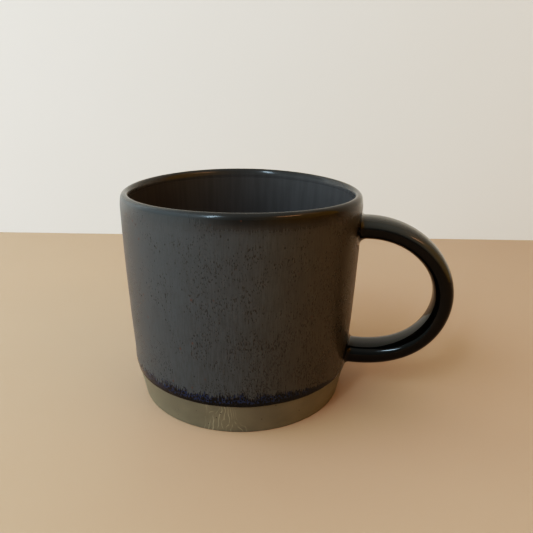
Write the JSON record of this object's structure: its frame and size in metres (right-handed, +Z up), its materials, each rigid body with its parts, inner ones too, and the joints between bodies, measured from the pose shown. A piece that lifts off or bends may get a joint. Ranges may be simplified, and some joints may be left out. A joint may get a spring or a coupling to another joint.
{
  "type": "ceramic mug",
  "caption": "Tapered stoneware mug with a bare clay foot band, a dark glaze inside and out, and a glossy strap handle.",
  "frame": {"origin": "centre of the underside of the foot, on the cup's axis", "axes": "+Z up along the cup's axis, +X from the axis towards the handle, +Y to the left of someone looking along +X"},
  "size_m": [0.1255, 0.09, 0.0802],
  "materials": {
    "bare_clay": "satin, fired and unglazed",
    "slip": "fired slip",
    "charcoal_glaze": "satin, speckled",
    "liner_glaze": "gloss",
    "black_glaze": "high gloss"
  },
  "bodies": {
    "root": {"cup_body": "bare_clay", "handle": "bare_clay", "upper_slip_joint": "slip", "lower_slip_joint": "slip", "outer_glaze": "charcoal_glaze", "inner_glaze": "liner_glaze", "handle_glaze": "black_glaze"}
  },
  "joints": []
}
